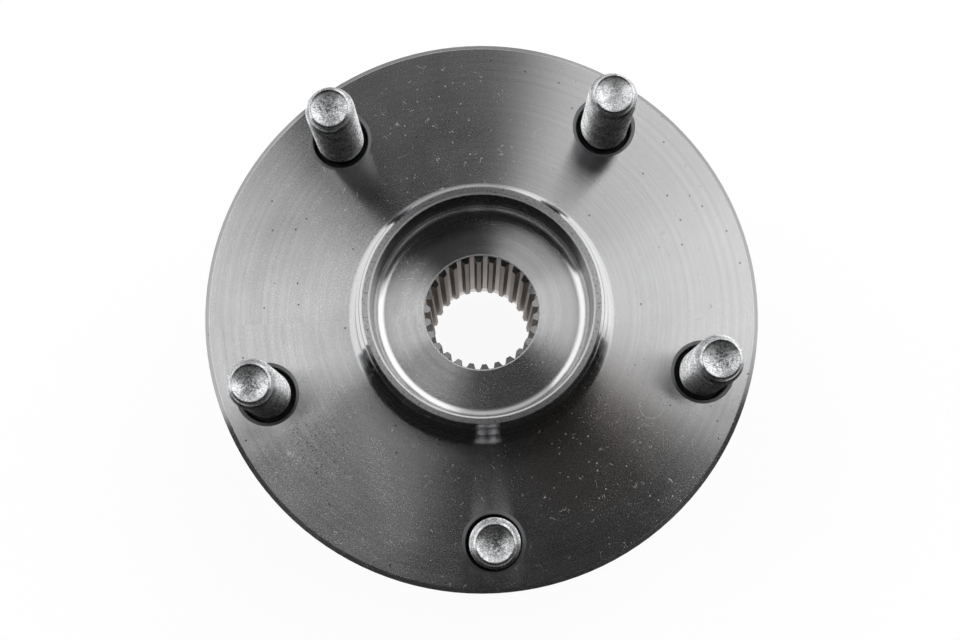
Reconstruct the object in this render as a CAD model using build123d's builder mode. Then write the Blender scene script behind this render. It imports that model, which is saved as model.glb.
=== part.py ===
from build123d import *
import math
import os

os.makedirs("parts", exist_ok=True)

# Wheel hub bearing unit for a driven wheel. Millimetres and degrees.
# Z is the axis of rotation. Z = 0 is the face that the brake disc and wheel bolt to,
# +Z points outboard to the wheel, -Z points inboard to the knuckle and drive shaft.
# In every turned section the first coordinate is the radius and the second is Z.

# wheel flange
stud_count = 5
stud_pcd = 114.3
first_stud_angle = 54.0  # puts one stud on -Y
flange_margin = 12.35  # stud circle to the flange's rim
flange_thickness = 11.0
flange_front_chamfer = 1.3
flange_back_chamfer = 1.6
seal_boss_slope = 1.5  # the boss behind the flange widens by this much at its root
seal_boss_fillet = 1.0
seal_land_fillet = 1.2

# wheel studs, M12 x 1.5
stud_thread_r = 5.93
stud_neck_r = 5.5  # plain neck between knurl and thread, rolling diameter of the blank
stud_protrusion = 31.4  # tip above the wheel face
stud_dog_r = 4.75  # plain point beyond the thread
stud_dog_length = 2.0
stud_dog_chamfer = 0.5
stud_hole_r = 6.9
stud_hole_chamfer = 1.05
stud_knurl_count = 40
stud_knurl_depth = 0.45
stud_knurl_setback = 3.6  # the knurl stops this far behind the wheel face
stud_head_r = 8.7
stud_head_thickness = 3.2
stud_head_chamfer = 0.6

# pilot ring and axle-nut recess
wheel_pilot_r = 30.0
brake_pilot_step = 1.0  # the brake disc's pilot stands out by this much on the radius
brake_pilot_height = 8.0
pilot_root_fillet = 2.4
wheel_pilot_length = 4.2
pilot_lead_in = 0.35  # taper above the wheel pilot
pilot_lead_in_length = 1.5
pilot_crown_width = 1.25
pilot_crown_chamfer = 0.8
recess_edge_chamfer = 0.45
recess_floor_z = 1.5
recess_floor_fillet = 2.5
recess_draft = 0.45  # the mouth is wider than the root by this much on the radius

# splined bore
spline_teeth = 26
spline_module = 25.4 / 24
spline_tooth_height = 1.35
spline_flank_angle = 18.0  # of the space, from its own middle
spline_tip_land = 1.1
spline_entry_angle = 30.0  # tooth ends at the recess, from the floor
bore_mouth_clearance = 0.05  # plain mouth beyond the tooth roots
bore_mouth_depth = 0.5
bore_edge_chamfer = 0.25
relief_step = 0.6  # inboard relief beyond the tooth roots
relief_length = 11.5
hub_wall = 6.2  # tooth roots to the inner ring's seat
rim_mouth_chamfer = 1.9
rim_lip = 4.9  # rolled rim beyond the inner ring's seat
rim_thickness = 3.9
rim_fillet = 2.8
journal_end_fillet = 0.8

# ball rows
ball_count = 13
ball_d = 12.7
first_ball_angle = 90.0
race_gap = 0.1
pocket_gap = 0.15
cage_web = 2.316
cage_back_wall = 1.45
cage_corner = 0.5
claw_ratio = 0.55  # the claws pass the ball's centre by this share of its radius
claw_notch_width = 1.3
claw_notch_depth = 1.9
cage_clearance = 0.4  # to the shoulders of both rings
cage_end_gap = 0.6  # to the seals
row_land = 5.8  # steel between the two raceways
high_shoulder_ratio = 0.35  # shoulder edges from the pitch circle, of the ball's radius
low_shoulder_ratio = 0.80
inner_ring_corner = 1.0
inner_ring_nose_corner = 0.5

# outer ring and knuckle flange
outer_ring_wall = 5.55  # behind the raceways' deepest points
stud_head_clearance = 0.8  # stud heads to the end of the outer ring
seal_face_clearance = 1.2  # hub's seal face to the end of the outer ring
seal_bore_step = 2.92  # seal seats beyond the low shoulders
seal_depth = 4.8
ring_end_chamfer = 0.8
seal_lead_in = 0.4
knuckle_setback = 13.0  # outboard end of the ring to the knuckle flange
knuckle_flange_thickness = 12.0
knuckle_bolt_count = 4
knuckle_bolt_offset = 12.0  # bolt circle beyond the ring's outside
knuckle_hole_r = 5.4  # M12 x 1.25 tapping size
knuckle_hole_chamfer = 0.8
knuckle_ear_r = 10.5
knuckle_scallop_r = 75.0
knuckle_scallop_web = 2.5
knuckle_scallop_fillet = 5.0
knuckle_edge_chamfer = 1.0

# seals
seal_case_thickness = 0.8
seal_case_setback = 0.2
seal_case_corner = 0.5
lip_gap = 0.15
lip_thickness = 0.5
lip_base_thickness = 0.7
lip_heel = 1.9  # rubber left between the running surface and the case's plate
first_lip_offset = 3.6  # axial lips from the surface the radial lip runs on
second_lip_offset = 6.4
lip_lean = 1.1
slinger_thickness = 0.8
slinger_edge_gap = 0.6
encoder_thickness = 0.8
encoder_offset = 2.2

# worked-out sizes: flange, bore and pilot ring
stud_circle_r = stud_pcd / 2
flange_r = stud_circle_r + flange_margin
brake_pilot_r = wheel_pilot_r + brake_pilot_step
wheel_pilot_z = brake_pilot_height + brake_pilot_step + wheel_pilot_length
pilot_height = wheel_pilot_z + pilot_lead_in_length + pilot_crown_chamfer
crown_outer_r = wheel_pilot_r - pilot_lead_in - pilot_crown_chamfer
crown_inner_r = crown_outer_r - pilot_crown_width
recess_mouth_r = crown_inner_r - recess_edge_chamfer
recess_root_r = recess_mouth_r - recess_draft

spline_root_r = (spline_teeth + 1) * spline_module / 2
spline_tip_r = spline_root_r - spline_tooth_height
flank_slope = math.tan(math.radians(spline_flank_angle))
space_at_tip = 2 * math.pi * spline_tip_r / spline_teeth - spline_tip_land
space_at_root = space_at_tip - 2 * flank_slope * (spline_root_r - spline_tip_r)
bore_mouth_r = spline_root_r + bore_mouth_clearance
bore_mouth_floor_z = recess_floor_z - bore_mouth_depth
spline_entry_depth = (bore_mouth_r - spline_tip_r) * math.tan(math.radians(spline_entry_angle))
relief_r = spline_root_r + relief_step
journal_r = spline_root_r + hub_wall

# worked-out sizes: ball rows
ball_r = ball_d / 2
pocket_r = ball_r + pocket_gap
groove_r = ball_r + race_gap
pitch_r = (ball_d + 2 * pocket_gap + cage_web) / (2 * math.sin(math.pi / ball_count))
high_drop = high_shoulder_ratio * ball_r
low_drop = low_shoulder_ratio * ball_r
high_reach = math.sqrt(groove_r**2 - high_drop**2)
low_reach = math.sqrt(groove_r**2 - low_drop**2)
inner_high_r, inner_low_r = pitch_r - high_drop, pitch_r - low_drop
outer_high_r, outer_low_r = pitch_r + high_drop, pitch_r + low_drop
cage_inner_r = inner_high_r + cage_clearance
cage_outer_r = outer_high_r - cage_clearance
cage_back = pocket_r + cage_back_wall

# worked-out sizes: outer ring and the stack along the axis
seal_bore_r = outer_low_r + seal_bore_step
seal_boss_r = seal_bore_r
ring_outer_r = pitch_r + groove_r + outer_ring_wall
knuckle_circle_r = ring_outer_r + knuckle_bolt_offset
knuckle_half_width = knuckle_circle_r * math.sqrt(0.5) + knuckle_ear_r

stud_head_back_z = -flange_thickness - stud_head_thickness
ring_outboard_z = stud_head_back_z - stud_head_clearance
seal_face_z = ring_outboard_z + seal_face_clearance
row_end = cage_back + cage_end_gap + seal_depth  # ball centres to the ring's nearer end
outboard_row_z = ring_outboard_z - row_end
inboard_row_z = outboard_row_z - ball_d - row_land
middle_z = (outboard_row_z + inboard_row_z) / 2
ring_inboard_z = inboard_row_z - row_end
hub_end_z = ring_inboard_z - rim_thickness
spline_end_z = hub_end_z + relief_length
knuckle_front_z = ring_outboard_z - knuckle_setback
knuckle_face_z = knuckle_front_z - knuckle_flange_thickness


def save(piece, node):
    piece.part.label = node
    export_step(piece.part, f"parts/{node}.step")


def cut_line(*corners):
    """Straight cuts through (radius, z, fillet) corners; the two ends take no fillet."""
    points = [(r, z) for r, z, _ in corners]
    FilletPolyline(*points, radius=[fillet for _, _, fillet in corners[1:-1]])


def turned(*corners):
    """A piece turned from a closed section of (radius, z, fillet) corners."""
    points = [(r, z) for r, z, _ in corners]
    with BuildPart() as piece:
        with BuildSketch(Plane.XZ):
            with BuildLine():
                FilletPolyline(*points, radius=[fillet for _, _, fillet in corners], close=True)
            make_face()
        revolve(axis=Axis.Z)
    return piece


def inner_groove(row_z, side):
    """Inner raceway. side is +1 where the high shoulder faces outboard, -1 where inboard."""
    ThreePointArc(
        (inner_high_r, row_z + side * high_reach),
        (pitch_r - groove_r, row_z),
        (inner_low_r, row_z - side * low_reach),
    )


def outer_groove(row_z, side):
    """Outer raceway. side is +1 where the low shoulder faces outboard, -1 where inboard."""
    ThreePointArc(
        (outer_low_r, row_z + side * low_reach),
        (pitch_r + groove_r, row_z),
        (outer_high_r, row_z - side * high_reach),
    )


# hub flange: wheel flange, pilot ring, spindle with the outboard raceway, splined bore
with BuildPart() as hub_flange:
    with BuildSketch(Plane.XZ):
        with BuildLine():
            # nut recess, crown, pilots, wheel face, flange rim and back, seal boss and land
            cut_line(
                (bore_mouth_r, bore_mouth_floor_z, 0),
                (bore_mouth_r, recess_floor_z - bore_edge_chamfer, 0),
                (bore_mouth_r + bore_edge_chamfer, recess_floor_z, 0),
                (recess_root_r, recess_floor_z, recess_floor_fillet),
                (recess_mouth_r, pilot_height - recess_edge_chamfer, 0),
                (crown_inner_r, pilot_height, 0),
                (crown_outer_r, pilot_height, 0),
                (wheel_pilot_r - pilot_lead_in, pilot_height - pilot_crown_chamfer, 0),
                (wheel_pilot_r, wheel_pilot_z, 0),
                (wheel_pilot_r, brake_pilot_height + brake_pilot_step, 0),
                (brake_pilot_r, brake_pilot_height, 0),
                (brake_pilot_r, 0, pilot_root_fillet),
                (flange_r - flange_front_chamfer, 0, 0),
                (flange_r, -flange_front_chamfer, 0),
                (flange_r, flange_back_chamfer - flange_thickness, 0),
                (flange_r - flange_back_chamfer, -flange_thickness, 0),
                (seal_boss_r + seal_boss_slope, -flange_thickness, seal_boss_fillet),
                (seal_boss_r, seal_face_z, 0),
                (inner_high_r, seal_face_z, seal_land_fillet),
                (inner_high_r, outboard_row_z + high_reach, 0),
            )
            inner_groove(outboard_row_z, 1)
            # inner ring's seat, rolled rim, inboard relief, tooth tips
            cut_line(
                (inner_low_r, outboard_row_z - low_reach, 0),
                (inner_low_r, middle_z, 0),
                (journal_r, middle_z, 0),
                (journal_r, ring_inboard_z, journal_end_fillet),
                (journal_r + rim_lip, ring_inboard_z, 0),
                (journal_r + rim_lip, hub_end_z, rim_fillet),
                (relief_r + rim_mouth_chamfer, hub_end_z, 0),
                (relief_r, hub_end_z + rim_mouth_chamfer, 0),
                (relief_r, spline_end_z, 0),
                (spline_root_r, spline_end_z, 0),
                (spline_tip_r, spline_end_z + spline_root_r - spline_tip_r, 0),
                (spline_tip_r, bore_mouth_floor_z - spline_entry_depth, 0),
                (bore_mouth_r, bore_mouth_floor_z, 0),
            )
        make_face()
    revolve(axis=Axis.Z)

    # spaces between the spline teeth, cut a little inside the tooth tips
    overcut = spline_module / 2
    with BuildSketch(Plane.XY.offset(spline_end_z)):
        with PolarLocations(0, spline_teeth):
            Polygon(
                (spline_root_r, space_at_root / 2),
                (spline_tip_r - overcut, space_at_tip / 2 + flank_slope * overcut),
                (spline_tip_r - overcut, -space_at_tip / 2 - flank_slope * overcut),
                (spline_root_r, -space_at_root / 2),
                align=None,
            )
    extrude(amount=bore_mouth_floor_z - spline_end_z, mode=Mode.SUBTRACT)

    with PolarLocations(stud_circle_r, stud_count, first_stud_angle):
        CounterSinkHole(
            radius=stud_hole_r,
            counter_sink_radius=stud_hole_r + stud_hole_chamfer,
            depth=2 * flange_thickness,
            counter_sink_angle=90,
        )
save(hub_flange, "hub_flange")


# wheel studs: round head, knurl pressed in the flange, plain neck, thread from the wheel face, dog point
knurl_outline = [
    Vector(stud_hole_r - stud_knurl_depth * (step % 2), 0).rotate(Axis.Z, step * 180 / stud_knurl_count)
    for step in range(2 * stud_knurl_count)
]
with BuildPart() as stud_blank:
    with BuildSketch(Plane.XZ):
        with BuildLine():
            Polyline(
                (0, stud_head_back_z),
                (stud_head_r - stud_head_chamfer, stud_head_back_z),
                (stud_head_r, stud_head_back_z + stud_head_chamfer),
                (stud_head_r, -flange_thickness),
                (stud_neck_r, -flange_thickness),
                (stud_neck_r, stud_neck_r - stud_thread_r),
                (stud_thread_r, 0),
                (stud_thread_r, stud_protrusion - stud_dog_length - stud_thread_r + stud_dog_r),
                (stud_dog_r, stud_protrusion - stud_dog_length),
                (stud_dog_r, stud_protrusion - stud_dog_chamfer),
                (stud_dog_r - stud_dog_chamfer, stud_protrusion),
                (0, stud_protrusion),
                close=True,
            )
        make_face()
    revolve(axis=Axis.Z)
    with BuildSketch(Plane.XY.offset(-flange_thickness)):
        Polygon(*knurl_outline, align=None)
    extrude(amount=flange_thickness - stud_knurl_setback)

stud_spots = PolarLocations(stud_circle_r, stud_count, first_stud_angle)
for number, spot in enumerate(stud_spots, start=1):
    with BuildPart() as wheel_stud:
        with Locations(spot):
            add(stud_blank.part)
    save(wheel_stud, f"wheel_stud_{number}")


# inner ring: pressed on the spindle against its shoulder, held by the rolled rim
with BuildPart() as inner_ring:
    with BuildSketch(Plane.XZ):
        with BuildLine():
            inner_groove(inboard_row_z, -1)
            cut_line(
                (inner_low_r, inboard_row_z + low_reach, 0),
                (inner_low_r, middle_z, inner_ring_nose_corner),
                (journal_r, middle_z, inner_ring_nose_corner),
                (journal_r, ring_inboard_z, inner_ring_corner),
                (inner_high_r, ring_inboard_z, inner_ring_corner),
                (inner_high_r, inboard_row_z - high_reach, 0),
            )
        make_face()
    revolve(axis=Axis.Z)
save(inner_ring, "inner_ring")


# outer ring: two raceways, seal seats, spigot and the four-eared flange to the knuckle
with BuildPart() as outer_ring:
    with BuildSketch(Plane.XZ):
        with BuildLine():
            outer_groove(outboard_row_z, 1)
            Line((outer_high_r, outboard_row_z - high_reach), (outer_high_r, inboard_row_z + high_reach))
            outer_groove(inboard_row_z, -1)
            cut_line(
                (outer_low_r, inboard_row_z - low_reach, 0),
                (outer_low_r, ring_inboard_z + seal_depth, 0),
                (seal_bore_r, ring_inboard_z + seal_depth, 0),
                (seal_bore_r, ring_inboard_z + seal_lead_in, 0),
                (seal_bore_r + seal_lead_in, ring_inboard_z, 0),
                (ring_outer_r - ring_end_chamfer, ring_inboard_z, 0),
                (ring_outer_r, ring_inboard_z + ring_end_chamfer, 0),
                (ring_outer_r, knuckle_front_z + knuckle_scallop_web, 0),
                (ring_outer_r, ring_outboard_z - ring_end_chamfer, 0),
                (ring_outer_r - ring_end_chamfer, ring_outboard_z, 0),
                (seal_bore_r + seal_lead_in, ring_outboard_z, 0),
                (seal_bore_r, ring_outboard_z - seal_lead_in, 0),
                (seal_bore_r, ring_outboard_z - seal_depth, 0),
                (outer_low_r, ring_outboard_z - seal_depth, 0),
                (outer_low_r, outboard_row_z + low_reach, 0),
            )
        make_face()
    revolve(axis=Axis.Z)

    with BuildSketch(Plane.XY.offset(knuckle_face_z)) as knuckle_shape:
        RectangleRounded(2 * knuckle_half_width, 2 * knuckle_half_width, knuckle_ear_r)
        with PolarLocations(ring_outer_r + knuckle_scallop_web + knuckle_scallop_r, knuckle_bolt_count):
            Circle(knuckle_scallop_r, mode=Mode.SUBTRACT)
        scallop_corners = knuckle_shape.vertices().sort_by(lambda corner: Vector(corner.X, corner.Y).length)
        fillet(scallop_corners[: 2 * knuckle_bolt_count], radius=knuckle_scallop_fillet)
        Circle(ring_outer_r - outer_ring_wall / 2, mode=Mode.SUBTRACT)
    extrude(amount=knuckle_flange_thickness)

    with Locations(Plane.XY.offset(knuckle_front_z)):
        with PolarLocations(knuckle_circle_r, knuckle_bolt_count, 180 / knuckle_bolt_count):
            Hole(radius=knuckle_hole_r, depth=knuckle_flange_thickness)
    hole_edges = outer_ring.edges().filter_by(GeomType.CIRCLE)
    chamfer(hole_edges.filter_by(lambda edge: abs(edge.radius - knuckle_hole_r) < 1e-4), knuckle_hole_chamfer)
    for plate_z in (knuckle_front_z, knuckle_face_z):
        plate_face = outer_ring.faces().filter_by_position(Axis.Z, plate_z - 0.01, plate_z + 0.01)[0]
        chamfer(plate_face.outer_wire().edges(), knuckle_edge_chamfer)
save(outer_ring, "outer_ring")


def save_row(row, row_z, side):
    """Balls and snap-in crown cage of one row. side is the way the cage's solid back faces."""
    ball_spots = PolarLocations(pitch_r, ball_count, first_ball_angle)
    row_plane = Location((0, 0, row_z))
    for number, spot in enumerate(ball_spots, start=1):
        with BuildPart() as ball:
            with Locations(row_plane * spot):
                Sphere(ball_r)
        save(ball, f"{row}_ball_{number:02d}")

    back_z = row_z + side * cage_back
    claw_z = row_z - side * claw_ratio * ball_r
    with BuildPart() as cage:
        with BuildSketch(Plane.XZ):
            with BuildLine():
                FilletPolyline(
                    (cage_inner_r, back_z),
                    (cage_outer_r, back_z),
                    (cage_outer_r, claw_z),
                    (cage_inner_r, claw_z),
                    radius=cage_corner,
                    close=True,
                )
            make_face()
        revolve(axis=Axis.Z)
        with Locations(row_plane):
            with PolarLocations(pitch_r, ball_count, first_ball_angle):
                Cylinder(pocket_r, 2 * (cage_outer_r - cage_inner_r), rotation=(0, 90, 0), mode=Mode.SUBTRACT)
        with Locations(Location((0, 0, claw_z))):
            with PolarLocations(pitch_r, ball_count, first_ball_angle + 180 / ball_count):
                Box(pocket_r, claw_notch_width, 2 * claw_notch_depth, mode=Mode.SUBTRACT)
    save(cage, f"{row}_cage")


save_row("outboard", outboard_row_z, 1)
save_row("inboard", inboard_row_z, -1)


def save_seal(seal, side, running_r, running_face_z):
    """Steel case pressed in the outer ring, with a rubber ring of one radial and two axial lips.

    side is the way the seal faces, running_r the surface under its radial lip and
    running_face_z the face in front of its axial lips.
    """
    end_z = ring_outboard_z if side > 0 else ring_inboard_z
    seat_z = end_z - side * seal_depth
    plate_z = seat_z + side * seal_case_thickness
    mouth_z = end_z - side * seal_case_setback
    plate_r = running_r + lip_heel
    wall_r = seal_bore_r - seal_case_thickness
    case = turned(
        (plate_r, seat_z, 0),
        (seal_bore_r, seat_z, seal_case_corner),
        (seal_bore_r, mouth_z, 0),
        (wall_r, mouth_z, 0),
        (wall_r, plate_z, 0),
        (plate_r, plate_z, 0),
    )
    save(case, f"{seal}_seal_case")

    base_z = plate_z + side * lip_base_thickness
    tip_z = running_face_z - side * lip_gap
    tip_r = running_r + lip_gap
    section = [
        (plate_r, seat_z, 0),
        (tip_r + 2 * lip_thickness, seat_z, 0),
        (tip_r, seat_z + side * lip_thickness, 0),
        (tip_r, seat_z + side * 2 * lip_thickness, 0),
        (plate_r, base_z, 0),
    ]
    for offset in (first_lip_offset, second_lip_offset):
        root_r = running_r + offset
        section += [
            (root_r - lip_thickness, base_z, 0),
            (root_r - lip_thickness / 2 + lip_lean, tip_z, 0),
            (root_r + lip_lean, tip_z, 0),
            (root_r + lip_thickness, base_z, 0),
        ]
    section += [(wall_r, base_z, 0), (wall_r, plate_z, 0), (plate_r, plate_z, 0)]
    save(turned(*section), f"{seal}_seal_lips")


# outboard seal, running on the hub itself
save_seal("outboard", 1, inner_high_r, seal_face_z)

# inboard cassette seal, running on a slinger that also carries the wheel-speed encoder
slinger_sleeve_r = inner_high_r + slinger_thickness
slinger_rim_r = seal_bore_r - seal_case_thickness - slinger_edge_gap
slinger_back_z = ring_inboard_z + encoder_thickness
slinger_face_z = slinger_back_z + slinger_thickness
save_seal("inboard", -1, slinger_sleeve_r, slinger_face_z)

slinger = turned(
    (inner_high_r, ring_inboard_z + seal_depth, 0),
    (slinger_sleeve_r, ring_inboard_z + seal_depth, 0),
    (slinger_sleeve_r, slinger_face_z, 0),
    (slinger_rim_r, slinger_face_z, 0),
    (slinger_rim_r, slinger_back_z, 0),
    (inner_high_r, slinger_back_z, seal_case_corner),
)
save(slinger, "seal_slinger")

encoder = turned(
    (slinger_sleeve_r + encoder_offset, slinger_back_z, 0),
    (slinger_rim_r, slinger_back_z, 0),
    (slinger_rim_r, ring_inboard_z, 0),
    (slinger_sleeve_r + encoder_offset, ring_inboard_z, 0),
)
save(encoder, "encoder_ring")
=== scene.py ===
import bpy
import bmesh
import math
from mathutils import Matrix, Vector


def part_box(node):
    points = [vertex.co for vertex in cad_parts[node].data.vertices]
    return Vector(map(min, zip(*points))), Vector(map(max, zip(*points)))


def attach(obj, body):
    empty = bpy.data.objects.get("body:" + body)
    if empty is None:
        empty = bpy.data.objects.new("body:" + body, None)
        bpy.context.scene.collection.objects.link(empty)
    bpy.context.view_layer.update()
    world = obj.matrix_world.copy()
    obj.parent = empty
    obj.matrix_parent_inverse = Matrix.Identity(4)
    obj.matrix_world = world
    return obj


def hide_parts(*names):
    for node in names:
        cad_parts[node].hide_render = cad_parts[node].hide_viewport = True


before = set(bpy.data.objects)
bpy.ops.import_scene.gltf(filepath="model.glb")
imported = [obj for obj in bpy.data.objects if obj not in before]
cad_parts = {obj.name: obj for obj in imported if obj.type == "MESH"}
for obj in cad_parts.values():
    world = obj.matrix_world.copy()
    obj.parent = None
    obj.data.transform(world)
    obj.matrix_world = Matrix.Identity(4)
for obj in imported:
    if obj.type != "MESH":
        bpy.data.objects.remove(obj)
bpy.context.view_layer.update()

mm = 0.001
print("frame loaded:", len(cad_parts), "nodes")

camera = {
    "lens": 60.83, "sensor": 36.0,
    "tilt": -7.534, "pan": 0.053, "roll": 2.986,     # degrees, about the camera's own axes
    "hub": (0.000409, 0.001749, -0.40669),           # the wheel face's centre, seen from the camera
    "nearest": 0.01, "farthest": 20.0,
}


def makeCamera():
    lens = bpy.data.cameras.new("productCamera")
    lens.lens = camera["lens"]
    lens.sensor_width = camera["sensor"]
    lens.sensor_fit = "HORIZONTAL"
    lens.clip_start, lens.clip_end = camera["nearest"], camera["farthest"]
    body = bpy.data.objects.new("productCamera", lens)
    bpy.context.scene.collection.objects.link(body)
    turned = (
        Matrix.Rotation(math.radians(camera["tilt"]), 4, "X")
        @ Matrix.Rotation(math.radians(camera["pan"]), 4, "Y")
        @ Matrix.Rotation(math.radians(camera["roll"]), 4, "Z")
    )
    body.matrix_world = (Matrix.Translation(camera["hub"]) @ turned).inverted()
    bpy.context.scene.camera = body


makeCamera()
bpy.context.scene.view_settings.view_transform = "Standard"
print("camera placed")

usualNoise = (0.3, 0.7)      # where most of a noise texture's values lie
quarterTurn = 0.25           # anisotropic rotation that lays the highlight across the turning marks


def plug(tree, node, sockets):
    # links what is a socket, and sets what is a plain value
    for name, value in sockets.items():
        if isinstance(value, bpy.types.NodeSocket):
            tree.links.new(value, node.inputs[name])
        else:
            node.inputs[name].default_value = value


def addNode(tree, kind, sockets=None, **settings):
    made = tree.nodes.new(kind)
    for name, value in settings.items():
        setattr(made, name, value)
    plug(tree, made, sockets or {})
    return made


def calc(tree, operation, first, *others, clamp=False):
    # one operation along all the values; a lone value is paired with a 0 that it doesn't use
    for other in others or (0.0,):
        first = addNode(tree, "ShaderNodeMath", {0: first, 1: other},
                        operation=operation, use_clamp=clamp).outputs[0]
    return first


def times(tree, *values):
    return calc(tree, "MULTIPLY", *values)


def total(tree, *values):
    return calc(tree, "ADD", *values)


def minus(tree, *values, clamp=False):
    return calc(tree, "SUBTRACT", *values, clamp=clamp)


def highest(tree, *values):
    return calc(tree, "MAXIMUM", *values)


def spread(tree, value, low, high, to0=0.0, to1=1.0):
    sockets = {0: value, 1: low, 2: high, 3: to0, 4: to1}
    return addNode(tree, "ShaderNodeMapRange", sockets).outputs[0]


def fade(tree, value, low, high):
    return spread(tree, value, low, high, 1.0, 0.0)


def band(tree, value, low, high, soft):
    # 1 between low and high, falling to 0 over soft on either side
    return times(tree, spread(tree, value, low - soft, low), fade(tree, value, high, high + soft))


def vector(tree, operation, a, b=(0.0, 0.0, 0.0)):
    return addNode(tree, "ShaderNodeVectorMath", {0: a, 1: b}, operation=operation).outputs[0]


def distance(tree, place, point):
    made = addNode(tree, "ShaderNodeVectorMath", {0: place, 1: point}, operation="DISTANCE")
    return made.outputs["Value"]


def combine(tree, x, y, z=0.0):
    return addNode(tree, "ShaderNodeCombineXYZ", {0: x, 1: y, 2: z}).outputs[0]


def split(tree, place):
    return addNode(tree, "ShaderNodeSeparateXYZ", {0: place}).outputs


def toWorld(tree, local, kind):
    turned = addNode(tree, "ShaderNodeVectorTransform", {0: local}, vector_type=kind,
                     convert_from="OBJECT", convert_to="WORLD")
    return vector(tree, "NORMALIZE", turned.outputs[0])


def noise(tree, place, scale, detail=2.0, rough=0.5, distortion=0.0):
    return addNode(tree, "ShaderNodeTexNoise", {
        "Vector": place, "Scale": scale, "Detail": detail, "Roughness": rough,
        "Distortion": distortion,
    }).outputs["Fac"]


def blendColour(tree, factor, a, b):
    a, b = ((*colour, 1.0) if isinstance(colour, tuple) else colour for colour in (a, b))
    return addNode(tree, "ShaderNodeMix", {0: factor, 6: a, 7: b}, data_type="RGBA").outputs[2]


def blendVector(tree, factor, a, b):
    return addNode(tree, "ShaderNodeMix", {0: factor, 4: a, 5: b}, data_type="VECTOR").outputs[1]


def radialTangent(tree):
    return addNode(tree, "ShaderNodeTangent", direction_type="RADIAL", axis="Z").outputs[0]


def bumped(tree, shader, height, depth, strength=1.0, **normal):
    # depth in millimetres
    sockets = {"Strength": strength, "Distance": depth * mm, "Height": height}
    bump = addNode(tree, "ShaderNodeBump", {**sockets, **normal})
    plug(tree, shader, {"Normal": bump.outputs[0]})


def startMaterial(name):
    # the place is the object's own, in millimetres
    made = bpy.data.materials.new(name)
    made.use_nodes = True
    tree = made.node_tree
    place = addNode(tree, "ShaderNodeTexCoord").outputs["Object"]
    place = vector(tree, "MULTIPLY", place, (1.0 / mm, 1.0 / mm, 1.0 / mm))
    return made, tree, tree.nodes["Principled BSDF"], place


def latheCoordinates(tree, place):
    # radius, height and angle round the hub's axis, in millimetres and radians
    x, y, z = split(tree, place)
    flat = combine(tree, x, y)
    radius = addNode(tree, "ShaderNodeVectorMath", {0: flat}, operation="LENGTH").outputs["Value"]
    return radius, z, calc(tree, "ARCTAN2", y, x)


def putOn(material, *names):
    for name in names:
        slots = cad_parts[name].data.materials
        slots.clear()
        slots.append(material)


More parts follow.
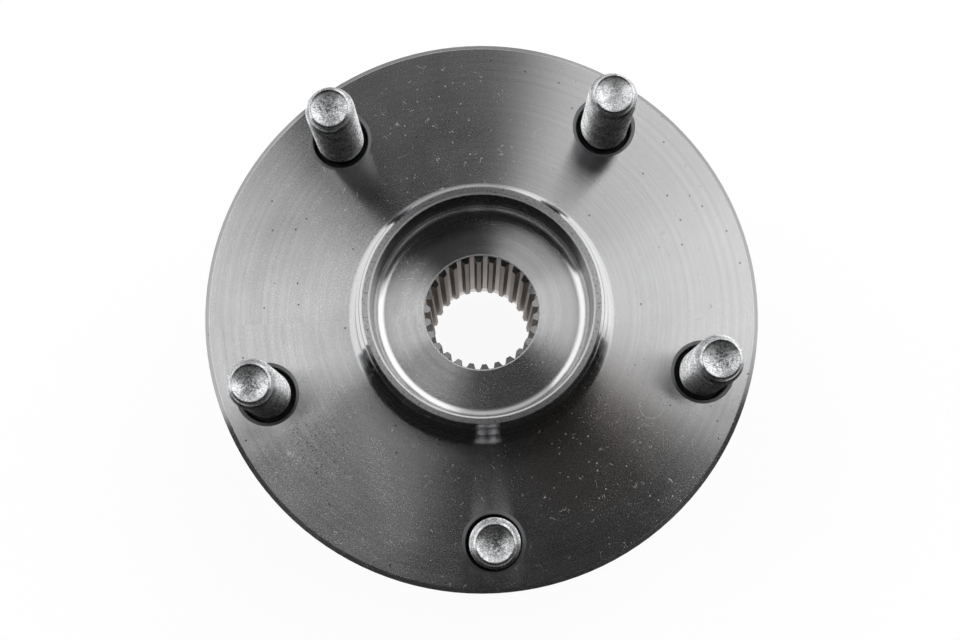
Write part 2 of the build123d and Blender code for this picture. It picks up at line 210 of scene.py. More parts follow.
# lengths are millimetres and noise scales are per millimetre
hub = {
    "colour": (0.65, 0.65, 0.655), "darker": (0.53, 0.53, 0.535), "tones": (0.38, 0.62),
    "roughness": (0.18, 0.215), "anisotropy": 1.0,
    # the turning marks: groove depth, how fast they change round the axis, and their noises
    "grooveDepth": 0.0005, "around": 0.15, "grooves": (9.0, 3.0, 0.6), "bands": (0.9, 3.0, 0.6),
    "cloud": (0.05, 4.0, 0.55, 0.4), "grain": (2.6, 3.0, 0.75), "grainDepth": 0.001,
    "bandTone": 0.40, "cloudTone": 0.25, "grainTone": 0.35,
    # what each part adds to the roughness
    "grainRough": 0.06, "markRough": 0.40, "edgeRough": 0.30, "toothRough": 0.13,
    "specks": (2.6, 2.0, 0.6), "speckRange": (0.50, 0.66), "speckRough": 0.06,
    "crown": (28.9, 31.5, 0.4), "crownFrom": (0.3, 1.2), "crownPolish": 0.07,

    # marks on the wheel face: squiggles by scale, seed, keep and width, and pits by scale, seed,
    # keep and size
    "face": (-0.5, 0.4, 0.4), "patchCore": 0.35, "breakUp": 2.2, "breakSoft": 0.05,
    "pitCore": 0.6, "pitSoft": 0.01,
    "scratches": (0.16, 0.0, 0.61, 0.010), "scratchShade": 0.6, "scratchDepth": 2.0,
    "lint": (0.22, 31.0, 0.655, 0.022, 2.5), "dust": (0.55, 17.0, 0.90, 0.20),
    "pits": (0.35, 0.0, 0.95, 0.28), "dots": (0.9, 7.0, 0.70, 0.21), "pitDepth": 8.0,
    "lightColour": (0.80, 0.80, 0.79), "darkColour": (0.05, 0.05, 0.05), "darkShade": 0.8,
    # middle and reach of the handled patches, the oily haze and the oil's dots
    "handled": (((-6.0, 46.0), 24.0), ((40.0, -36.0), 34.0)),
    "oilHaze": ((24.0, -34.0), 26.0), "hazeColour": (0.60, 0.555, 0.525), "hazeShade": 0.8,
    "oilDots": ((-43.0, -33.0), 15.0),
    # rubbed arcs: centre, radius, and the middle and reach of what shows of it
    "arcs": (((41.0, -25.6), 3.0, (41.0, -25.6), 6.0), ((18.6, 43.4), 3.4, (16.1, 46.1), 3.2),
             ((14.6, 39.3), 3.9, (18.4, 40.1), 3.4)),
    "arcHalfWidth": 0.03, "arcSoft": 0.07,

    # the dull land on the pilot ring's end
    "land": (27.55, 28.95, 0.1), "landFrom": (14.9, 15.1), "landColour": (0.33, 0.33, 0.335),
    "landShade": 0.8, "landDepth": 60.0, "blots": (2.0, 3.0, 0.7), "blotRange": (0.55, 0.62),
    "rim": (68.3, 68.5), "rimColour": (0.40, 0.40, 0.405),
    # painted highlight: the thin lines round the bore's edge and the crown's inner edge are painted
    # near white and made partly non-metal
    "edgeHighlightColour": (0.90, 0.90, 0.90), "edgeDull": 0.6,
    "boreEdge": (14.38, 14.66, 0.03), "boreEdgeFrom": (0.3, 0.5),
    "crownEdge": (27.15, 27.55, 0.03), "crownEdgeFrom": (14.5, 14.8),
    # painted shade: the recess's inner wall under the crown is painted dark
    "shadedWall": (26.0, 27.1), "shadedHeights": (4.5, 14.0), "shadedSoft": (0.3, 1.0),
    "shadedColour": (0.22, 0.22, 0.22),

    # the spline's teeth and the cone that leads into them
    "toothRoot": 14.34, "rootSoft": 0.05, "toothEntry": 1.0, "entrySlope": 0.577,
    # painted shade: the tooth ends on the entry cone are painted dark for the dark they reflect
    "entrySoft": (-0.14, -0.05), "toothEndShadeColour": (0.26, 0.26, 0.265),
    "toothColour": (0.54, 0.495, 0.465), "toothLand": (12.95, 13.15),
    "toothLandColour": (0.36, 0.325, 0.30),

    # the stud holes and their countersinks, by the distance from the stud's axis and by height; the
    # holes and a ring at their mouths are painted near black, as painted shade
    "studCircle": 57.15, "firstStud": 54.0, "studs": 5,
    "hole": (6.95, 7.05), "holeHeights": (-1.15, -1.0),
    "shadeRing": (7.55, 7.65), "ringHeights": (-0.9, -0.7),
    "holeShadowColour": (0.03, 0.03, 0.03), "holeShade": 0.9,
    "sunkR": 8.0, "sunkTop": -0.02, "sunkColour": (0.62, 0.62, 0.63),

    # fillets round the axis, the recess's first: radii, heights, and the middle's radius and height
    "fillets": (((24.285, 26.83), (0.5, 4.0), (24.285, 4.0)),
                ((31.0, 33.4), (-0.1, 2.4), (33.4, 2.4))),
    # painted highlight: the recess's fillet is painted lighter than the steel round it
    "filletHighlightColour": (0.78, 0.78, 0.78), "filletSoft": (0.1, 0.3),
    # cones and cylinders round the axis: radii, heights and the normal's parts outwards and upwards
    "walls": (((26.7, 27.16), (4.0, 15.0), (-1.0, 0.035)),
              ((28.86, 29.64), (14.7, 15.5), (1.0, 1.0)),
              ((29.62, 29.99), (13.2, 14.69), (1.0, 0.233)),
              ((29.9, 30.02), (9.0, 13.19), (1.0, 0.0)),
              ((30.03, 30.98), (8.0, 9.0), (1.0, 1.0)),
              ((30.9, 31.02), (2.4, 7.99), (1.0, 0.0))),
    "wallSoft": 0.01,
}


def studOffset(tree, place, angle):
    # from the nearest stud's axis to this point, and how far it is
    step = 2 * math.pi / hub["studs"]
    first = math.radians(hub["firstStud"])
    turns = calc(tree, "ROUND", calc(tree, "DIVIDE", minus(tree, angle, first), step))
    near = total(tree, times(tree, turns, step), first)
    x, y = split(tree, place)[:2]
    dx = minus(tree, x, times(tree, calc(tree, "COSINE", near), hub["studCircle"]))
    dy = minus(tree, y, times(tree, calc(tree, "SINE", near), hub["studCircle"]))
    away = calc(tree, "SQRT", total(tree, times(tree, dx, dx), times(tree, dy, dy)))
    return dx, dy, away


def squiggles(tree, place, scale, seed, keep, width, distortion=1.2):
    # thin lines along the contours of one noise, broken up by another
    moved = vector(tree, "ADD", place, (seed, 2.0 * seed, 0.0))
    lines = noise(tree, moved, scale, distortion=distortion)
    thin = fade(tree, calc(tree, "ABSOLUTE", minus(tree, lines, 0.5)), 0.0, width)
    broken = noise(tree, moved, hub["breakUp"] * scale)
    return times(tree, thin, spread(tree, broken, keep, keep + hub["breakSoft"]))


def pitting(tree, place, scale, seed, keep, size):
    # round specks, one in a few cells of a flat grid
    moved = vector(tree, "ADD", place, (seed, -seed, 0.0))
    cells = addNode(tree, "ShaderNodeTexVoronoi", {"Vector": moved, "Scale": scale},
                    voronoi_dimensions="2D", feature="F1")
    chosen = addNode(tree, "ShaderNodeSeparateColor", {0: cells.outputs["Color"]}).outputs[0]
    specks = fade(tree, cells.outputs["Distance"], hub["pitCore"] * size * scale, size * scale)
    return times(tree, specks, spread(tree, chosen, keep, keep + hub["pitSoft"]))


def patch(tree, place, middle, reach):
    # 1 at the middle of a round patch of the face, falling softly to its edge
    return fade(tree, distance(tree, place, (*middle, 0.0)), hub["patchCore"] * reach, reach)


def ringZone(tree, radius, height, radii, heights, softOut, softUp):
    return times(tree, band(tree, radius, *radii, softOut), band(tree, height, *heights, softUp))


def trueNormals(tree, place, radius, height):
    # the normals of the fillets and walls, so the mesh's facets don't break up their reflections
    flat = vector(tree, "NORMALIZE", vector(tree, "MULTIPLY", place, (1.0, 1.0, 0.0)))
    normal = addNode(tree, "ShaderNodeNewGeometry").outputs["Normal"]
    soft = hub["wallSoft"]
    for kind in ("fillets", "walls"):
        for radii, heights, (out, up) in hub[kind]:
            within = ringZone(tree, radius, height, radii, heights, soft, soft)
            outwards = vector(tree, "MULTIPLY", flat, (out, out, 0.0))
            local = vector(tree, "ADD", outwards, (0.0, 0.0, up))
            if kind == "fillets":     # a hollow fillet's normal points to its middle
                local = vector(tree, "SUBTRACT", local, place)
            normal = blendVector(tree, within, normal, toWorld(tree, local, "NORMAL"))
    return normal


def faceMarks(tree, place, height):
    # scratches, then lint and dust, then pits and oil dots, all on the wheel face alone
    onFace = band(tree, height, *hub["face"])
    handled = highest(tree, *[patch(tree, place, *spot) for spot in hub["handled"]])
    handled = times(tree, handled, onFace)
    scratches = times(tree, squiggles(tree, place, *hub["scratches"]), onFace)
    lint = times(tree, squiggles(tree, place, *hub["lint"]), handled)
    half = hub["arcHalfWidth"]
    for centre, size, middle, reach in hub["arcs"]:
        away = distance(tree, place, (*centre, 0.0))
        arc = band(tree, away, size - half, size + half, hub["arcSoft"])
        arc = times(tree, arc, onFace, patch(tree, place, middle, reach))
        lint = highest(tree, lint, arc)
    dust = times(tree, pitting(tree, place, *hub["dust"]), handled)
    pits = times(tree, pitting(tree, place, *hub["pits"]), onFace)
    oiled = patch(tree, place, *hub["oilDots"])
    dots = times(tree, pitting(tree, place, *hub["dots"]), oiled, onFace)
    return scratches, highest(tree, lint, dust), highest(tree, pits, dots)


def studHoles(tree, away, height):
    # the stud holes and a ring at their mouths, painted near black as painted shade, and the
    # countersinks
    hole = times(tree, fade(tree, away, *hub["hole"]), fade(tree, height, *hub["holeHeights"]))
    ring = times(tree, fade(tree, away, *hub["shadeRing"]), fade(tree, height, *hub["ringHeights"]))
    sunk = times(tree, calc(tree, "LESS_THAN", away, hub["sunkR"]),
                 calc(tree, "LESS_THAN", height, hub["sunkTop"]))
    return highest(tree, hole, ring), sunk


def splineTeeth(tree, radius, height):
    # all that lies inside the teeth's root radius, and of that the broached part
    root = hub["toothRoot"]
    cone = times(tree, minus(tree, root, radius), hub["entrySlope"])
    above = minus(tree, total(tree, height, cone), hub["toothEntry"])
    inside = fade(tree, radius, root, root + hub["rootSoft"])
    return inside, times(tree, fade(tree, above, *hub["entrySoft"]), inside)


def hubSteel():
    material, tree, shader, place = startMaterial("hubSteel")
    radius, height, angle = latheCoordinates(tree, place)
    dx, dy, away = studOffset(tree, place, angle)
    lathe = combine(tree, radius, height, times(tree, angle, hub["around"]))
    grooves = noise(tree, lathe, *hub["grooves"])
    bands = noise(tree, lathe, *hub["bands"])
    cloud = noise(tree, place, *hub["cloud"])
    grain = noise(tree, place, *hub["grain"])
    tone = total(tree, times(tree, bands, hub["bandTone"]), times(tree, cloud, hub["cloudTone"]),
                 times(tree, grain, hub["grainTone"]))
    scratches, light, pits = faceMarks(tree, place, height)
    light = highest(tree, times(tree, scratches, hub["scratchShade"]), light)
    land = times(tree, band(tree, radius, *hub["land"]), spread(tree, height, *hub["landFrom"]))
    blots = spread(tree, noise(tree, place, *hub["blots"]), *hub["blotRange"])
    dark = highest(tree, pits, times(tree, land, blots))
    hole, sunk = studHoles(tree, away, height)
    inside, bored = splineTeeth(tree, radius, height)
    radii, heights = hub["fillets"][0][:2]
    fillet = ringZone(tree, radius, height, radii, heights, *hub["filletSoft"])
    edges = highest(tree, *[
        times(tree, band(tree, radius, *hub[edge]), spread(tree, height, *hub[edge + "From"]))
        for edge in ("boreEdge", "crownEdge")
    ])

    # colours laid over each other; the broached teeth are warmer and duller than the turned faces
    tone = spread(tree, tone, *hub["tones"])
    steel = blendColour(tree, tone, hub["darker"], hub["colour"])
    tooth = spread(tree, radius, *hub["toothLand"])
    tooth = blendColour(tree, tooth, hub["toothLandColour"], hub["toothColour"])
    haze = times(tree, patch(tree, place, *hub["oilHaze"]), hub["hazeShade"])
    # painted shade on the recess's inner wall
    shaded = ringZone(tree, radius, height, hub["shadedWall"], hub["shadedHeights"],
                      *hub["shadedSoft"])
    for factor, colour in (
        (spread(tree, radius, *hub["rim"]), hub["rimColour"]),
        (haze, hub["hazeColour"]),
        (times(tree, land, hub["landShade"]), hub["landColour"]),
        (light, hub["lightColour"]),
        (times(tree, dark, hub["darkShade"]), hub["darkColour"]),
        # painted shade in the stud holes
        (times(tree, hole, hub["holeShade"]), hub["holeShadowColour"]),
        (minus(tree, sunk, hole, clamp=True), hub["sunkColour"]),
        # painted shade on the tooth ends
        (inside, hub["toothEndShadeColour"]),
        (bored, tooth),
        (shaded, hub["shadedColour"]),
        # painted highlight on the recess's fillet
        (fillet, hub["filletHighlightColour"]),
        # painted highlight on the bore's and the crown's edges
        (edges, hub["edgeHighlightColour"]),
    ):
        steel = blendColour(tree, factor, steel, colour)
    # the painted edge highlights, like the light marks, are taken partly off the metal
    metal = minus(tree, 1.0, highest(tree, light, times(tree, edges, hub["edgeDull"])))

    crown = times(tree, band(tree, radius, *hub["crown"]), spread(tree, height, *hub["crownFrom"]))
    specks = noise(tree, place, *hub["specks"])
    specks = spread(tree, specks, *hub["speckRange"], 0.0, hub["speckRough"])
    rough = total(
        tree,
        spread(tree, cloud, *usualNoise, *hub["roughness"]),
        times(tree, minus(tree, grain, 0.5), hub["grainRough"]),
        times(tree, specks, minus(tree, 1.0, highest(tree, crown, fillet))),
    )
    rough = total(
        tree,
        minus(tree, rough, times(tree, crown, hub["crownPolish"])),
        times(tree, highest(tree, sunk, light), hub["markRough"]),
        times(tree, edges, hub["edgeRough"]),
        times(tree, highest(tree, bored, land), hub["toothRough"]),
    )

    # turning marks run round the hub's axis, and round the stud's own in its countersink
    local = toWorld(tree, combine(tree, times(tree, dy, -1.0), dx), "VECTOR")
    plug(tree, shader, {
        "Base Color": steel, "Metallic": metal, "Roughness": rough,
        "Anisotropic": hub["anisotropy"], "Anisotropic Rotation": quarterTurn,
        "Tangent": blendVector(tree, sunk, radialTangent(tree), local),
    })
    relief = total(tree, grooves, times(tree, scratches, hub["scratchDepth"]),
                   times(tree, grain, hub["grainDepth"] / hub["grooveDepth"]))
    relief = minus(tree, relief, times(tree, pits, hub["pitDepth"]))
    relief = total(tree, relief, times(tree, grain, land, hub["landDepth"]))
    normals = trueNormals(tree, place, radius, height)
    bumped(tree, shader, relief, hub["grooveDepth"], Normal=normals)
    return material


putOn(hubSteel(), "hub_flange")
print("hub flange finished")

raceFinish = {
    "colour": (0.50, 0.50, 0.51), "darker": (0.36, 0.36, 0.37), "tones": (0.38, 0.74),
    "roughness": (0.25, 0.42), "anisotropy": 0.6, "around": 0.2, "markDepth": 0.0012,
    "marks": (4.0, 4.0, 0.65), "markTone": 0.4, "stains": (0.08, 4.0, 0.6, 0.5), "stainTone": 0.7,
}


def raceSteel():
    material, tree, shader, place = startMaterial("raceSteel")
    radius, height, angle = latheCoordinates(tree, place)
    lathe = combine(tree, radius, height, times(tree, angle, raceFinish["around"]))
    marks = noise(tree, lathe, *raceFinish["marks"])
    stains = noise(tree, place, *raceFinish["stains"])
    tone = total(tree, times(tree, marks, raceFinish["markTone"]),
                 times(tree, stains, raceFinish["stainTone"]))
    tone = spread(tree, tone, *raceFinish["tones"])
    plug(tree, shader, {
        "Base Color": blendColour(tree, tone, raceFinish["darker"], raceFinish["colour"]),
        "Roughness": spread(tree, stains, *usualNoise, *raceFinish["roughness"]), "Metallic": 1.0,
        "Anisotropic": raceFinish["anisotropy"], "Anisotropic Rotation": quarterTurn,
        "Tangent": radialTangent(tree),
    })
    bumped(tree, shader, marks, raceFinish["markDepth"])
    return material


putOn(raceSteel(), "outer_ring", "inner_ring")

ballFinish = {
    "colour": (0.80, 0.80, 0.81), "darker": (0.74, 0.74, 0.76), "roughness": (0.06, 0.12),
    "haze": (0.5, 3.0, 0.6),
}
sealFinish = {
    "colour": (0.46, 0.46, 0.47), "darker": (0.34, 0.34, 0.35), "roughness": (0.34, 0.48),
    "haze": (0.5, 4.0, 0.65),
}


def hazedSteel(name, finish):
    material, tree, shader, place = startMaterial(name)
    haze = noise(tree, place, *finish["haze"])
    plug(tree, shader, {
        "Base Color": blendColour(tree, haze, finish["darker"], finish["colour"]),
        "Roughness": spread(tree, haze, *usualNoise, *finish["roughness"]), "Metallic": 1.0,
    })
    return material


balls = [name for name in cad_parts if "_ball_" in name]
putOn(hazedSteel("ballSteel", ballFinish), *balls)
print("rings and", len(balls), "balls finished")

cageFinish = {
    "colour": (0.60, 0.52, 0.36), "darker": (0.47, 0.39, 0.25), "roughness": (0.40, 0.55),
    "cloud": (0.4, 4.0, 0.6), "fibres": (9.0, 2.0, 0.5), "fibreDepth": 0.01, "fibreStrength": 0.6,
}


def cagePlastic():
    material, tree, shader, place = startMaterial("cagePolyamide")
    cloud = noise(tree, place, *cageFinish["cloud"])
    fibres = noise(tree, place, *cageFinish["fibres"])
    plug(tree, shader, {
        "Base Color": blendColour(tree, cloud, cageFinish["darker"], cageFinish["colour"]),
        "Roughness": spread(tree, fibres, *usualNoise, *cageFinish["roughness"]),
    })
    bumped(tree, shader, fibres, cageFinish["fibreDepth"], cageFinish["fibreStrength"])
    return material


putOn(cagePlastic(), "outboard_cage", "inboard_cage")

rubberFinish = {"colour": (0.018, 0.018, 0.019), "roughness": (0.56, 0.72)}
ferriteFinish = {"colour": (0.055, 0.042, 0.034), "roughness": (0.49, 0.65)}
mouldFinish = {
    "dust": (1.2, 4.0, 0.65), "dustRange": (0.45, 0.8), "paler": 2.2,
    "grain": (14.0, 2.0, 0.5), "grainDepth": 0.01, "grainStrength": 0.5,
}


def mouldedRubber(name, finish):
    material, tree, shader, place = startMaterial(name)
    dust = noise(tree, place, *mouldFinish["dust"])
    grain = noise(tree, place, *mouldFinish["grain"])
    pale = tuple(mouldFinish["paler"] * part for part in finish["colour"])
    dusty = spread(tree, dust, *mouldFinish["dustRange"])
    plug(tree, shader, {
        "Base Color": blendColour(tree, dusty, finish["colour"], pale),
        "Roughness": spread(tree, dust, *usualNoise, *finish["roughness"]),
    })
    bumped(tree, shader, grain, mouldFinish["grainDepth"], mouldFinish["grainStrength"])
    return material


putOn(hazedSteel("sealSteel", sealFinish),
      "outboard_seal_case", "inboard_seal_case", "seal_slinger")
putOn(mouldedRubber("sealRubber", rubberFinish), "outboard_seal_lips", "inboard_seal_lips")
putOn(mouldedRubber("encoderFerrite", ferriteFinish), "encoder_ring")
print("cages and seals finished")

stud = {
    "threadR": 5.93, "rootR": 5.05, "pitch": 1.5, "threadSteps": 48,
    "threadLow": -0.6, "threadGap": 0.35,      # where it starts, and how far below the dog it stops
    # the thread's outline over one pitch: 0 at the root or 1 at the crest, and the height
    "tooth": ((0, 0.0), (0, 0.19), (1, 0.66), (1, 0.84), (0, 1.31), (0, 1.5)),
    "runOut": 0.02, "runOutSlope": 0.8, "chamferSlope": 1.05,
    "core": 0.1,      # how far the shank's core lies under the thread's root
    "coreLow": 0.1, "neckR": 5.5, "neckTop": -0.35,
    "headBack": -14.2, "headR": 8.7, "headChamfer": 0.6, "faceBack": -11.0,
    "knurlR": 6.9, "knurlRootR": 6.45, "knurlEnd": -3.6, "knurlChamfer": 0.4, "knurlTeeth": 40,
    "knurlNear": 0.01,
    "dogR": 4.9, "dogStart": 29.4, "dogChamfer": 0.45, "tip": 31.399,
    "dishR": 4.3, "dishEdge": 0.06, "dishStep": 0.12, "dishDepth": 0.70, "dishRings": 9,
    "dishZone": 1.3,       # all within this of the tip belongs to the end
    "blankWeld": 1e-4, "threadWeld": 1e-3, "cutWidth": 1e-5, "merge": 0.001, "sliver": 0.0005,
    "turnApart": 1.3,      # radians that each stud is turned further than the last
}
plating = {
    "colour": (0.93, 0.935, 0.945), "darker": (0.36, 0.365, 0.375), "tones": (0.47, 0.62),
    "roughness": (0.26, 0.42), "grain": (2.8, 3.0, 0.75), "grainTone": 0.7, "grainDepth": 0.012,
    "cloud": (0.35, 3.0, 0.6), "cloudTone": 0.4,
    "darkColour": (0.07, 0.072, 0.078),
    # painted shade: the thread's roots are painted darker
    "rootDepth": 0.45, "crestDepth": 0.05, "rootShade": 0.45, "rootGaps": (0.6, 0.3),
    "specks": (1.5, 4.0, 0.8, 0.8), "speckRange": (0.56, 0.70), "speckShade": 0.9,
    "middle": (0.5, 4.0), "middleSpecks": 0.17, "endSoft": 0.2,
    "cleanEnd": ((33.6, 46.2), 14.0),      # the stud whose end has stayed bright
    # painted shade: the neck down in the stud hole is painted near black
    "neck": (-10.8, -1.2, 0.9), "neckShadowColour": (0.01, 0.01, 0.01), "neckShade": 0.95,
    "neckRough": 0.3,
}


def startOutline(points):
    # a chain of edges through (radius, height) points, ready to spin
    mesh = bmesh.new()
    verts = [mesh.verts.new((r, 0.0, z)) for r, z in points]
    edges = [mesh.edges.new(pair) for pair in zip(verts, verts[1:])]
    return mesh, verts + edges


def setRadius(v, wanted):
    scale = wanted / math.hypot(v.co.x, v.co.y)
    v.co.x *= scale
    v.co.y *= scale


def studBlank():
    s = stud
    coreR = s["rootR"] - s["core"]
    rings = s["dishRings"]
    deep = s["tip"] - s["dishStep"]
    dish = [(s["dishR"] * (1 - k / rings), deep - s["dishDepth"] * (1 - (1 - k / rings) ** 2))
            for k in range(rings + 1)]
    mesh, outline = startOutline([
        (0.0, s["headBack"]),
        (s["headR"] - s["headChamfer"], s["headBack"]),
        (s["headR"], s["headBack"] + s["headChamfer"]),
        (s["headR"], s["faceBack"]),
        (s["knurlR"], s["faceBack"]),
        (s["knurlR"], s["knurlEnd"] - s["knurlChamfer"]),
        (s["knurlR"] - s["knurlChamfer"], s["knurlEnd"]),
        (s["neckR"], s["knurlEnd"]),
        (s["neckR"], s["neckTop"]),
        (coreR, s["coreLow"]),
        (coreR, s["dogStart"] - (coreR - s["dogR"])),
        (s["dogR"], s["dogStart"]),
        (s["dogR"], s["tip"] - s["dogChamfer"]),
        (s["dogR"] - s["dogChamfer"], s["tip"]),
        (s["dishR"] + s["dishEdge"], s["tip"]),
        *dish,
    ])
    bmesh.ops.spin(mesh, geom=outline, cent=(0, 0, 0), axis=(0, 0, 1), dvec=(0, 0, 0),
                   angle=2 * math.pi, steps=2 * s["knurlTeeth"], use_merge=True)
    bmesh.ops.remove_doubles(mesh, verts=mesh.verts, dist=s["blankWeld"])
    bmesh.ops.recalc_face_normals(mesh, faces=mesh.faces)
    half = math.pi / s["knurlTeeth"]
    for v in mesh.verts:      # every other line of the knurled part is a groove
        off = abs(math.hypot(v.co.x, v.co.y) - s["knurlR"])
        if off < s["knurlNear"] and v.co.z < s["knurlEnd"]:
            if round(math.atan2(v.co.y, v.co.x) / half) % 2:
                setRadius(v, s["knurlRootR"])
    return mesh


def studThread():
    # a helical tooth wound up the shank, closed at both ends
    s = stud
    low, high = s["threadLow"], s["dogStart"] - s["threadGap"]
    start = low - 2 * s["pitch"]
    turns = math.ceil((high - start) / s["pitch"]) + 2
    radii = s["rootR"], s["threadR"]
    mesh, outline = startOutline([(radii[crest], start + z) for crest, z in s["tooth"]])
    bmesh.ops.spin(mesh, geom=outline, cent=(0, 0, 0), axis=(0, 0, 1),
                   dvec=(0, 0, s["pitch"] / s["threadSteps"]), angle=2 * math.pi * turns,
                   steps=turns * s["threadSteps"])
    bmesh.ops.remove_doubles(mesh, verts=mesh.verts, dist=s["threadWeld"])
    for plane, outward in ((low, -1), (high, 1)):
        whole = mesh.verts[:] + mesh.edges[:] + mesh.faces[:]
        cut = bmesh.ops.bisect_plane(mesh, geom=whole, dist=s["cutWidth"], plane_co=(0, 0, plane),
                                     plane_no=(0, 0, outward), clear_outer=True)
        rim = [e for e in cut["geom_cut"] if isinstance(e, bmesh.types.BMEdge)]
        bmesh.ops.contextual_create(mesh, geom=rim)
    for v in mesh.verts:      # the run-out at the bottom and the chamfer at the top
        most = min(s["threadR"], s["neckR"] + s["runOut"] + (v.co.z - low) * s["runOutSlope"],
                   s["dogR"] + s["chamferSlope"] * (s["dogStart"] - v.co.z))
        if math.hypot(v.co.x, v.co.y) > most:
            setRadius(v, most)
    bmesh.ops.recalc_face_normals(mesh, faces=mesh.faces)
    return mesh


def toObject(name, mesh):
    data = bpy.data.meshes.new(name)
    mesh.to_mesh(data)
    mesh.free()
    made = bpy.data.objects.new(name, data)
    bpy.context.scene.collection.objects.link(made)
    return made


def zincPlate():
    material, tree, shader, place = startMaterial("zincPlate")
    height, angle = latheCoordinates(tree, place)[1:]
    away = studOffset(tree, place, angle)[2]
    grain = noise(tree, place, *plating["grain"])
    cloud = noise(tree, place, *plating["cloud"])
    tone = total(tree, times(tree, grain, plating["grainTone"]),
                 times(tree, cloud, plating["cloudTone"]))
    tone = spread(tree, tone, *plating["tones"])
    zinc = blendColour(tree, tone, plating["darker"], plating["colour"])
    # painted shade in the thread's roots
    roots = spread(tree, away, stud["threadR"] - plating["rootDepth"],
                   stud["threadR"] - plating["crestDepth"], plating["rootShade"], 0.0)
    shank = fade(tree, height, *(stud["dogStart"] - gap for gap in plating["rootGaps"]))
    roots = times(tree, roots, shank)
    zinc = blendColour(tree, roots, zinc, plating["darkColour"])

    # the end is speckled dark towards the middle of its dish, and the neck is painted black, as
    # painted shade down in the hole
    endLow = stud["tip"] - stud["dishZone"]
    onEnd = spread(tree, height, endLow, endLow + plating["endSoft"])
    middle = spread(tree, away, *plating["middle"], plating["middleSpecks"], 0.0)
    specks = total(tree, noise(tree, place, *plating["specks"]), times(tree, middle, onEnd))
    specks = spread(tree, specks, *plating["speckRange"])
    specks = times(tree, specks, plating["speckShade"], onEnd)
    clean = patch(tree, vector(tree, "MULTIPLY", place, (1.0, 1.0, 0.0)), *plating["cleanEnd"])
    specks = times(tree, specks, minus(tree, 1.0, clean))
    zinc = blendColour(tree, specks, zinc, plating["darkColour"])
    neck = times(tree, band(tree, height, *plating["neck"]), plating["neckShade"])
    rough = spread(tree, grain, *usualNoise, *plating["roughness"])
    plug(tree, shader, {
        "Base Color": blendColour(tree, neck, zinc, plating["neckShadowColour"]),
        "Roughness": total(tree, rough, times(tree, neck, plating["neckRough"])),
        "Metallic": 1.0,
    })
    bumped(tree, shader, grain, plating["grainDepth"])
    return material


def studMesh():
    # the blank and its thread made one closed mesh, smooth in the dish alone
    blank = toObject("studBlank", studBlank())
    thread = toObject("studThread", studThread())
    join = blank.modifiers.new("join", "BOOLEAN")
    join.operation = "UNION"
    join.solver = "EXACT"
    join.object = thread
    ready = blank.evaluated_get(bpy.context.evaluated_depsgraph_get())
    pattern = bpy.data.meshes.new_from_object(ready)
    closed = bmesh.new()
    closed.from_mesh(pattern)
    bmesh.ops.remove_doubles(closed, verts=closed.verts, dist=stud["merge"])
    bmesh.ops.dissolve_degenerate(closed, edges=closed.edges, dist=stud["sliver"])
    closed.to_mesh(pattern)
    closed.free()
    for face in pattern.polygons:
        x, y, z = face.center
        face.use_smooth = z > stud["tip"] - stud["dishZone"] and math.hypot(x, y) < stud["dishR"]
    bpy.data.objects.remove(blank)
    bpy.data.objects.remove(thread)
    return pattern


def makeStuds():
    pattern = studMesh()
    plate = zincPlate()
    names = sorted(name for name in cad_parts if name.startswith("wheel_stud"))
    for number, name in enumerate(names):
        low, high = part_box(name)
        shape = pattern.copy()
        shape.transform(Matrix.Translation(((low[0] + high[0]) / 2, (low[1] + high[1]) / 2, 0.0))
                        @ Matrix.Rotation(stud["turnApart"] * number, 4, "Z") @ Matrix.Scale(mm, 4))
        piece = bpy.data.objects.new("wheelStud" + name[-1], shape)
        bpy.context.scene.collection.objects.link(piece)
        shape.materials.clear()
        shape.materials.append(plate)
        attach(piece, "wheel_hub")
        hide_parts(name)
    return len(names)


print("wheel studs threaded:", makeStuds())

studio = {
    "floorZ": -0.0642, "floorSize": 0.56, "paper": (0.88, 0.88, 0.88, 1.0),
    "glow": 0.86, "glowColour": (1.0, 1.0, 1.0, 1.0), "glowStrength": 1.08,
    "mirrored": 0.10,      # metres round the hub where its metal sees the floor's glow
    "lean": -0.04,         # how far the tent's top leans to the camera
    "dark": 0.012,         # light from outside the soft walls
    # the tent's soft walls, right, left and back: heading in degrees, then half width, height
    # and fall to the sides as slopes
    "walls": (
        {"heading": 34.0, "light": 1.40, "half": 0.95, "soft": 0.25,
         "top": 9.2, "topSoft": 0.6, "gable": 2.2},
        {"heading": 158.0, "light": 1.27, "half": 0.69, "soft": 0.05,
         "top": 8.3, "topSoft": 0.6, "gable": 6.5},
        {"heading": 97.0, "light": 0.62, "half": 3.0, "soft": 0.50,
         "top": 2.2, "topSoft": 1.0, "gable": 0.0},
    ),
}


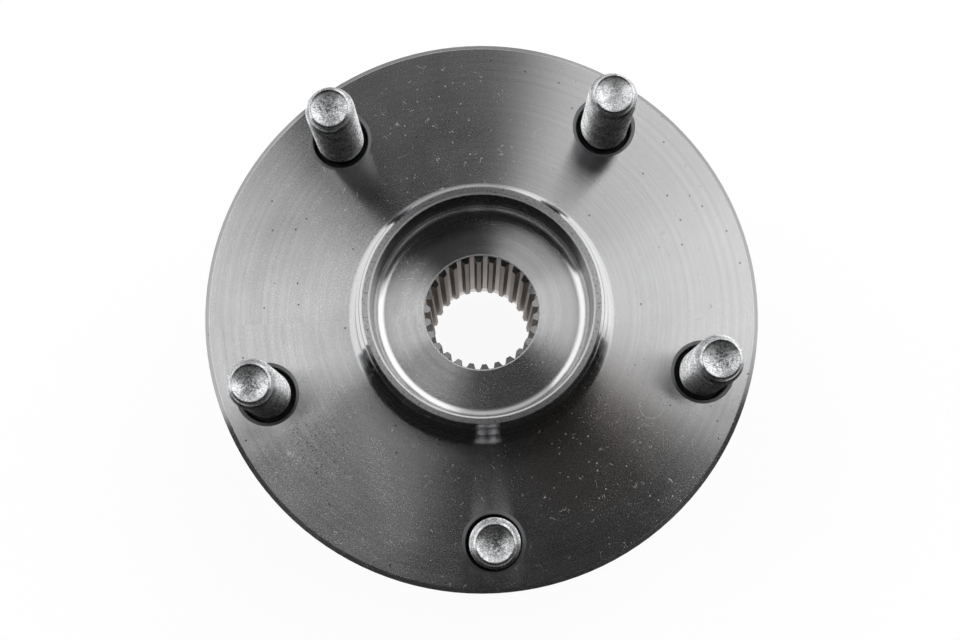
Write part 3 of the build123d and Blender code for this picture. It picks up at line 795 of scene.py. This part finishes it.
def makeFloor():
    mesh = bmesh.new()
    bmesh.ops.create_grid(mesh, x_segments=1, y_segments=1, size=studio["floorSize"] / 2)
    bmesh.ops.translate(mesh, verts=mesh.verts, vec=(0, 0, studio["floorZ"]))
    floor = toObject("floor", mesh)
    material = bpy.data.materials.new("floorPaper")
    material.use_nodes = True
    tree = material.node_tree
    tree.nodes.remove(tree.nodes["Principled BSDF"])
    paper = addNode(tree, "ShaderNodeBsdfDiffuse", {"Color": studio["paper"]})
    glow = addNode(tree, "ShaderNodeEmission",
                   {"Color": studio["glowColour"], "Strength": studio["glowStrength"]})
    path = addNode(tree, "ShaderNodeLightPath")
    place = addNode(tree, "ShaderNodeTexCoord").outputs["Object"]
    away = distance(tree, place, (0.0, 0.0, studio["floorZ"]))
    near = calc(tree, "LESS_THAN", away, studio["mirrored"])
    mirrored = times(tree, path.outputs["Is Glossy Ray"], near)
    seen = times(tree, highest(tree, path.outputs["Is Camera Ray"], mirrored), studio["glow"])
    mix = addNode(tree, "ShaderNodeMixShader", {0: seen, 1: paper.outputs[0], 2: glow.outputs[0]})
    plug(tree, tree.nodes["Material Output"], {"Surface": mix.outputs[0]})
    floor.data.materials.append(material)


def panel(tree, x, y, z, wall):
    # one soft wall of the tent, by the direction it is seen in
    a = math.radians(wall["heading"])
    out = total(tree, times(tree, x, math.cos(a)), times(tree, y, math.sin(a)))
    aside = minus(tree, times(tree, y, math.cos(a)), times(tree, x, math.sin(a)))
    deep = highest(tree, out, 0.0001)
    aside = calc(tree, "DIVIDE", calc(tree, "ABSOLUTE", aside), deep)
    rise = total(tree, calc(tree, "DIVIDE", z, deep), times(tree, aside, wall["gable"]))
    wide = fade(tree, aside, wall["half"] - wall["soft"], wall["half"] + wall["soft"])
    tall = fade(tree, rise, wall["top"] - wall["topSoft"], wall["top"] + wall["topSoft"])
    return times(tree, wide, tall, calc(tree, "GREATER_THAN", out, 0.0), wall["light"])


def makeWorld():
    world = bpy.data.worlds.new("studio")
    bpy.context.scene.world = world
    world.use_nodes = True
    tree = world.node_tree
    x, y, z = split(tree, addNode(tree, "ShaderNodeTexCoord").outputs["Generated"])
    y = total(tree, y, times(tree, z, studio["lean"]))
    seen = addNode(tree, "ShaderNodeLightPath").outputs["Is Camera Ray"]
    walls = [panel(tree, x, y, z, wall) for wall in studio["walls"]]
    light = highest(tree, seen, *walls, studio["dark"])
    plug(tree, tree.nodes["Background"], {"Color": light, "Strength": 1.0})


makeFloor()
makeWorld()
print("studio ready")
